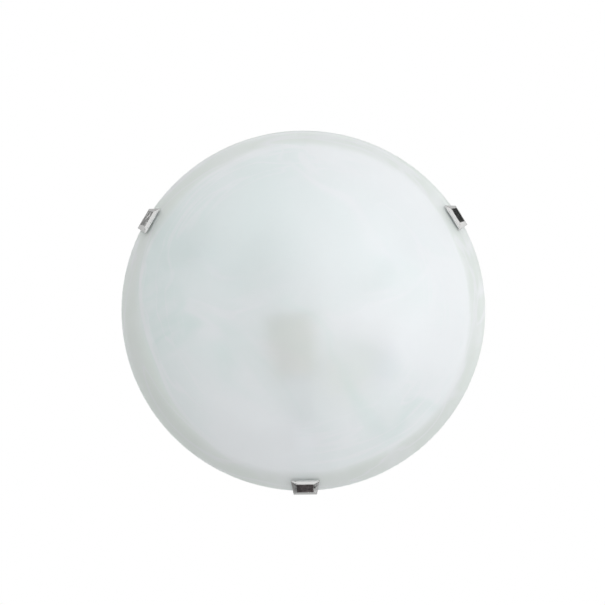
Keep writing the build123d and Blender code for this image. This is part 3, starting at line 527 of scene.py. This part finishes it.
class LIGHT_OT_clips(bpy.types.Operator):
    """Plate the clip caps and finish the steel and the liners behind them"""

    bl_idname = "ceiling_light.clips"
    bl_label = "Clips and arms"

    def execute(self, context):
        look = context.scene.light_metal
        chrome = metal("chrome_plate", look.chrome, rough=0.06, patch_scale=45.0, patch=0.03, grain=130.0,
                       grain_depth=FLAT_GRAIN * 4)
        for side, body in (("left", "fixture"), ("right", "fixture"), ("front", "sprung_clip")):
            piece = pressed_cap(f"clip_cap_{side}", look, chrome)
            place_piece(piece, body, "chrome_plate", f"clip_cap_{side}")
        zinc = metal("zinc_steel", look.zinc, rough=0.36, patch_scale=130.0, patch=0.16)
        # painted shade: the bracket's zinc is painted darker, standing in for its shadow and dark reflection
        # seen through the glass
        shaded_zinc = metal("zinc_bracket_painted_shade", darker(look.zinc, 0.38), rough=0.36, patch_scale=130.0, patch=0.16)
        dress(shaded_zinc, "lampholder_bracket")
        dress(zinc, "fixed_arm_left", "fixed_arm_right", "sliding_arm", "arm_guide", "arm_rivets",
              "guide_rivets", "bracket_rivets", "block_rivet", "spring_washer", "spring_pin",
              "bracket_screws", "earth_stud", "star_washer", "earth_nut")
        liner = moulded("clear_liner", (0.80, 0.82, 0.79), rough=0.45, Transmission_Weight=0.5, IOR=1.45)
        dress(liner, "clip_pad_left", "clip_pad_right", "clip_pad_front")
        return {"FINISHED"}


def pressed_cap(node, look, finish):
    """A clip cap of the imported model, with its own edges and the faint waves of pressed sheet."""
    weld = 0.001 * MM             # points nearer than this are one
    flat_angle = radians(3)       # faces that meet at less are made one
    sharp_angle = radians(14)     # edges that turn more get narrow strips of faces along them
    strip_width = 0.3 * MM        # as asked; the clamp holds the strips under 0.01 mm
    longest_edge = 1.2 * MM       # longer ones are cut in two
    cutting_rounds = 5
    waves_per_metre = 140.0
    work = bmesh.new()
    work.from_mesh(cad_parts[node].data)
    bmesh.ops.remove_doubles(work, verts=work.verts, dist=weld)
    bmesh.ops.dissolve_limit(work, angle_limit=flat_angle, verts=work.verts, edges=work.edges)
    sharp = [line for line in work.edges
             if len(line.link_faces) == 2 and line.calc_face_angle(0.0) > sharp_angle]
    bmesh.ops.bevel(work, geom=sharp, offset=strip_width, segments=3, profile=0.5, affect="EDGES",
                    clamp_overlap=True)
    bmesh.ops.triangulate(work, faces=work.faces)
    for _ in range(cutting_rounds):
        long = [line for line in work.edges if line.calc_length() > longest_edge]
        bmesh.ops.subdivide_edges(work, edges=long, cuts=1)
        bmesh.ops.triangulate(work, faces=[face for face in work.faces if len(face.verts) > 3])
    work.normal_update()
    waves = [(vertex, noise.noise(vertex.co * waves_per_metre) * 0.5 + 0.5) for vertex in work.verts]
    for vertex, height in waves:
        vertex.co -= vertex.normal * height * look.cap_wave
    mesh = bpy.data.meshes.new(node + "_pressed")
    work.to_mesh(mesh)
    work.free()
    mesh.shade_smooth()
    return show_mesh(mesh, finish)


class LIGHT_OT_spring(bpy.types.Operator):
    """Wind the sprung clip's spring, with closed end turns"""

    bl_idname = "ceiling_light.spring"
    bl_label = "Clip spring"

    closed_turns = 1.0            # turns that lie flat at each end
    closed_pitch = 1.04           # rise of a closed turn, in wire diameters
    steps_per_turn = 28

    def execute(self, context):
        look = context.scene.light_metal
        low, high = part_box("clip_spring")
        wire = look.spring_wire
        axis_x, axis_z = (low.x + high.x) / 2, (low.z + high.z) / 2
        radius = (high.x - low.x) / 2 - wire / 2
        start, end = low.y + wire / 2, high.y - wire / 2
        turns = look.spring_turns + self.closed_turns
        open_rise = end - start - 2 * self.closed_turns * self.closed_pitch * wire
        centres = []
        steps = int(turns * self.steps_per_turn)
        for step in range(steps + 1):
            turn = turns * step / steps
            open_share = (turn - self.closed_turns) / (turns - 2 * self.closed_turns)
            closed = min(turn, self.closed_turns) + max(turn - turns + self.closed_turns, 0.0)
            rise = closed * self.closed_pitch * wire + open_rise * min(max(open_share, 0.0), 1.0)
            centres.append(Vector((axis_x + radius * cos(2 * pi * turn), start + rise,
                                   axis_z + radius * sin(2 * pi * turn))))
        steel = metal("spring_steel", (0.42, 0.42, 0.44), rough=0.21, patch_scale=300.0, patch=0.2)
        spring = make_piece("clip_spring_coil", *tube_along(centres, wire / 2), steel)
        place_piece(spring, "fixture", "spring_steel", "clip_spring")
        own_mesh(spring)
        return {"FINISHED"}


class LIGHT_OT_holder(bpy.types.Operator):
    """Glaze the lampholder and form its threaded shell and contacts"""

    bl_idname = "ceiling_light.holder"
    bl_label = "Lampholder"

    thread_root = 13.3 * MM       # radius inside the shell's thread
    shell_sheet = 0.4 * MM        # thickness of the shell's metal

    def execute(self, context):
        look = context.scene.light_lamp
        # the glaze colour carries painted shade for the lampholder
        glaze = moulded("porcelain", look.porcelain, rough=0.22, grain=300.0, patch=0.10, Coat_Weight=0.5,
                        Coat_Roughness=0.05)
        dress(glaze, "lampholder_body")
        brass = metal("brass", context.scene.light_metal.brass, rough=0.21, patch_scale=160.0, patch=0.18)
        dress(brass, "centre_contact", "holder_terminals", "bracket_inserts", "block_inserts", "earth_lug")
        shell = threaded_tube(*lamp_range("threaded_shell"), self.thread_root, look.thread_depth,
                              look.thread_pitch, self.shell_sheet)
        place_piece(make_piece("threaded_shell_rolled", *shell, brass), "fixture", "brass", "threaded_shell")
        return {"FINISHED"}


class LIGHT_OT_lamp(bpy.types.Operator):
    """Frost the bulb and form its screw cap, stem and filament"""

    bl_idname = "ceiling_light.lamp"
    bl_label = "Lamp"

    thread_root = 12.0 * MM       # radius inside the screw cap's thread
    filament_span = 17.4 * MM     # from lead to lead
    filament_bow = 1.2 * MM       # how far its middle stands out
    filament_coil = 0.35 * MM     # radius of the coil
    filament_wire = 0.08 * MM     # radius of the wire
    filament_turns = 44
    steps_per_turn = 10

    def execute(self, context):
        look = context.scene.light_lamp
        pearl = moulded("pearl_glass", look.pearl, rough=0.35, grain=900.0, patch=0.02,
                        Transmission_Weight=0.12, IOR=1.3)
        dress(pearl, "bulb_glass")
        dress(moulded("black_glass", (0.035, 0.03, 0.035), rough=0.18, patch=0.3), "bulb_insulator")
        solder = metal("solder", (0.62, 0.62, 0.63), rough=0.38, patch_scale=700.0, patch=0.2, grain=1500.0)
        dress(solder, "bulb_contact")
        stem = moulded("stem_glass", (0.90, 0.93, 0.92), rough=0.06, patch=0.02, Transmission_Weight=0.9,
                       IOR=1.5)
        dress(stem, "bulb_stem")
        wire = metal("tungsten", (0.22, 0.22, 0.23), rough=0.4, patch_scale=900.0, patch=0.2)
        dress(wire, "bulb_leads")
        cap = threaded_tube(*lamp_range("bulb_cap"), self.thread_root, look.thread_depth, look.thread_pitch,
                            look.sheet)
        aluminium = metal("cap_aluminium", (0.70, 0.70, 0.71), rough=0.22, patch_scale=200.0, patch=0.08)
        place_piece(make_piece("bulb_cap_rolled", *cap, aluminium), "lamp", "cap_aluminium", "bulb_cap")
        self.wind_filament(wire)
        return {"FINISHED"}

    def wind_filament(self, wire):
        """The coiled filament, bowed a little between its two leads."""
        low, high = lamp_range("bulb_filament")
        steps = self.filament_turns * self.steps_per_turn
        centres = []
        for step in range(steps + 1):
            share = step / steps
            angle = 2 * pi * self.filament_turns * share
            along = (low + high) / 2 - self.filament_bow * sin(pi * share)
            middle = LAMP_MOUTH + LAMP_BACK * along + LAMP_SIDE * self.filament_span * (share - 0.5)
            centres.append(middle + (LAMP_BACK * cos(angle) + LAMP_UP * sin(angle)) * self.filament_coil)
        coil = tube_along(centres, self.filament_wire, around=6)
        place_piece(make_piece("bulb_filament_coil", *coil, wire), "lamp", "tungsten", "bulb_filament")


class LIGHT_OT_wiring(bpy.types.Operator):
    """Finish the leads, the terminal block and the grommet"""

    bl_idname = "ceiling_light.wiring"
    bl_label = "Wiring"

    def execute(self, context):
        look = context.scene.light_wiring
        dress(moulded("block_nylon", look.nylon, rough=0.42), "terminal_block")
        screws = metal("screw_steel", (0.78, 0.79, 0.81), rough=0.3, patch_scale=400.0, patch=0.15)
        dress(screws, "block_screws")
        dress(moulded("grommet_rubber", (0.72, 0.72, 0.70), rough=0.55, patch=0.08), "cable_grommet")
        dress(sleeved_lead("brown_lead", look.live, look), "live_lead")
        dress(sleeved_lead("blue_lead", look.neutral, look), "neutral_lead")
        dress(striped_lead(look), "earth_lead")
        return {"FINISHED"}


def sleeved_lead(slot, colour, look):
    """Insulation in its colour at the terminal block, and a white braided heat sleeve further down."""
    finish = Finish(slot)
    height = finish.add("ShaderNodeSeparateXYZ", Vector=finish.place).outputs["Z"]
    bare = finish.span(height, 0.0, 1.0, look.sleeve_end - 0.2 * MM, look.sleeve_end)
    mottle = finish.span(finish.noise(400.0), 0.0, 1.0)
    sleeve = finish.shade(mottle, darker(look.sleeve, 0.08), tuple(look.sleeve))
    skin = finish.shade(mottle, darker(colour, 0.12), tuple(colour))
    finish.set(Base_Color=finish.shade(bare, sleeve, skin), Roughness=finish.span(bare, 0.75, 0.4, 0.0, 1.0))
    weave = finish.add("ShaderNodeTexWave", Vector=finish.place, Scale=420.0, Distortion=3.0, Detail=1.0,
                       bands_direction="DIAGONAL")
    return finish.relief(finish.times(weave.outputs["Fac"], finish.rest(bare)), 0.15 * MM)


def striped_lead(look):
    """The earth lead's green skin with yellow stripes wound round it."""
    finish = Finish("green_yellow_lead")
    stripes = finish.add("ShaderNodeTexWave", Vector=finish.place, Scale=70.0, bands_direction="DIAGONAL")
    share = finish.span(stripes.outputs["Fac"], 0.0, 1.0, 0.45, 0.55)
    finish.set(Base_Color=finish.shade(share, tuple(look.earth_green), tuple(look.earth_yellow)),
               Roughness=finish.span(finish.noise(25.0), 0.34, 0.46))
    return finish.relief(finish.noise(700.0), FLAT_GRAIN)


class LIGHT_OT_stage(bpy.types.Operator):
    """Set up the floor, the soft light and the camera"""

    bl_idname = "ceiling_light.stage"
    bl_label = "Stage"

    floor_half = 4.0                        # metres from the middle of the floor to its edge
    sensor_width = 36.0                     # millimetres, as Blender counts a camera's sensor and lens
    camera_aim = Vector((-0.66, -4.15, -14.8)) * MM
    key_place = Vector((1.05, -0.30, -1.40))
    key_size = 1.8                          # metres across
    lean_right, lean_back = 0.80, 0.85      # shares of the room's lean to the right and to the back
    band_foot = (0.26, 0.36)                # heights over which the mirrors' dark band begins, as sines
    band_top = (0.66, 0.84)                 # heights over which it ends
    band_ends = (0.18, 0.42)                # how far to the front or the back it begins
    band_ragged = 0.16                      # how far its edges stray
    warm_start = (0.75, 0.88)               # how far to the front the band turns warm
    warm_tint = (1.0, 0.87, 0.89)

    def execute(self, context):
        look = context.scene.light_stage
        self.lay_floor(look)
        self.light_room(context, look)
        self.hang_key_lamp(context, look)
        self.set_camera(context, look)
        context.scene.view_settings.view_transform = "Standard"
        return {"FINISHED"}

    def lay_floor(self, look):
        """A plain pale floor under the light."""
        half, level = self.floor_half, -look.floor_drop
        corners = [(-half, -half, level), (half, -half, level), (half, half, level), (-half, half, level)]
        pale = moulded("pale_floor", (0.93, 0.93, 0.93), rough=0.8, patch=0.02)
        make_piece("pale_floor", corners, [[0, 1, 2, 3]], pale, smooth=False)

    def light_room(self, context, look):
        """Plain light all round that looks white, with a room of their own for mirrors and for glass."""
        room = Room("white_room", context)
        axes = room.add("ShaderNodeSeparateXYZ", Vector=room.place).outputs
        path = room.add("ShaderNodeLightPath").outputs
        band = self.mirror_band(room, axes)
        plain = room.span(axes["Z"], look.room_strength, look.room_above, 0.25, 0.75, smooth=True)
        mirrored = room.blend(band, self.mirror_bright(room, axes), self.mirror_dark(room, axes, look))
        behind = room.span(axes["Z"], look.room_strength, look.ceiling_shade, 0.0, 0.25, smooth=True)
        lean = room.sum("MULTIPLY_ADD", axes["Y"], -look.room_lean * self.lean_back, 1.0)
        lean = room.sum("MULTIPLY_ADD", axes["X"], look.room_lean * self.lean_right, lean)
        level = room.blend(path["Is Glossy Ray"], plain, mirrored)
        level = room.blend(path["Is Transmission Ray"], level, behind)
        level = room.blend(path["Is Camera Ray"], room.times(level, lean), 1.0)
        room.feed(room.surface.inputs["Strength"], level)
        warm = room.times(band, room.span(axes["Y"], 0.0, 1.0, *self.warm_start), path["Is Glossy Ray"])
        room.feed(room.surface.inputs["Color"], room.shade(warm, (1.0, 1.0, 1.0), self.warm_tint))

    def mirror_band(self, room, axes):
        """A ragged band above the horizon, at the front and the back, where mirrors see dark."""
        ragged = room.noise(1.6, detail=3.0, distortion=0.8)
        edge = room.sum("MULTIPLY_ADD", ragged, self.band_ragged, axes["Z"])
        rising = room.span(edge, 0.0, 1.0, *self.band_foot, smooth=True)
        falling = room.span(edge, 1.0, 0.0, *self.band_top, smooth=True)
        ends = room.span(room.sum("ABSOLUTE", axes["Y"]), 0.0, 1.0, *self.band_ends)
        return room.times(rising, falling, ends)

    @staticmethod
    def mirror_bright(room, axes):
        """Light that mirrors see outside the band: dimmer straight above and towards the back."""
        upper = room.span(axes["Z"], 1.0, 0.55, 0.2, 0.9)
        return room.times(upper, room.span(axes["Y"], 0.45, 1.0, -0.95, -0.3))

    @staticmethod
    def mirror_dark(room, axes, look):
        """What mirrors see in the band: near dark, paler at the left, with streaks that fade forwards."""
        streaks = room.noise(7.0, detail=5.0, distortion=1.2, stretch=(1.0, 1.0, 2.5))
        streaks = room.span(streaks, 0.0, 0.9, 0.52, 0.60)
        streaks = room.times(streaks, room.span(axes["Y"], 1.0, 0.18, 0.5, 0.8))
        left = room.span(axes["X"], 0.22, 0.0, -0.8, 0.1)
        pale = room.sum("ADD", streaks, left)
        return room.sum("ADD", pale, 1.0 - look.dark_side)

    def hang_key_lamp(self, context, look):
        """A large soft lamp below and to the right, which mirrors don't show."""
        lamp = bpy.data.lights.new("key_lamp", "AREA")
        lamp.size, lamp.energy = self.key_size, look.key_power
        holder = bpy.data.objects.new("key_lamp", lamp)
        holder.location = self.key_place
        holder.rotation_euler = self.key_place.to_track_quat("Z", "Y").to_euler()
        holder.visible_glossy = False
        context.scene.collection.objects.link(holder)

    def set_camera(self, context, look):
        """The camera under the light, tilted towards the sprung clip."""
        camera = bpy.data.cameras.new("camera")
        camera.sensor_width = self.sensor_width
        camera.lens = self.sensor_width * look.camera_distance / look.view_width
        holder = bpy.data.objects.new("camera", camera)
        back = Vector((0.0, sin(look.camera_tilt), -cos(look.camera_tilt)))
        level = Vector((1.0, 0.0, 0.0))
        right = level * cos(look.camera_roll) - back.cross(level) * sin(look.camera_roll)
        facing = Matrix((right, back.cross(right), back)).transposed().to_4x4()
        place = self.camera_aim + back * look.camera_distance
        holder.matrix_world = Matrix.Translation(place) @ facing
        context.scene.collection.objects.link(holder)
        context.scene.camera = holder


# ------------------------------------------------------------------------------------ panel and main
SETTINGS = {"light_glass": GlassSettings, "light_metal": MetalSettings, "light_lamp": LampSettings,
            "light_wiring": WiringSettings, "light_stage": StageSettings}
STEPS = (LIGHT_OT_glass, LIGHT_OT_pan, LIGHT_OT_clips, LIGHT_OT_spring, LIGHT_OT_holder, LIGHT_OT_lamp,
         LIGHT_OT_wiring, LIGHT_OT_stage)


class LIGHT_PT_panel(bpy.types.Panel):
    """Settings and steps of the ceiling light"""

    bl_idname = "LIGHT_PT_panel"
    bl_label = "Ceiling light"
    bl_space_type = "VIEW_3D"
    bl_region_type = "UI"
    bl_category = "Ceiling light"

    def draw(self, context):
        for group, kind in SETTINGS.items():
            for name in kind.__annotations__:
                self.layout.prop(getattr(context.scene, group), name)
        for step in STEPS:
            self.layout.operator(step.bl_idname)


def register():
    """Add the settings, the steps and the panel to Blender."""
    for group in (*SETTINGS.values(), *STEPS, LIGHT_PT_panel):
        bpy.utils.register_class(group)
    for name, group in SETTINGS.items():
        setattr(bpy.types.Scene, name, PointerProperty(type=group))


def unregister():
    """Take them out again."""
    for name in SETTINGS:
        delattr(bpy.types.Scene, name)
    for group in reversed((*SETTINGS.values(), *STEPS, LIGHT_PT_panel)):
        bpy.utils.unregister_class(group)


def main():
    """Register the settings and steps, then make every piece."""
    register()
    for step in STEPS:
        group, name = step.bl_idname.split(".")
        getattr(getattr(bpy.ops, group), name)()


if __name__ == "__main__":
    main()
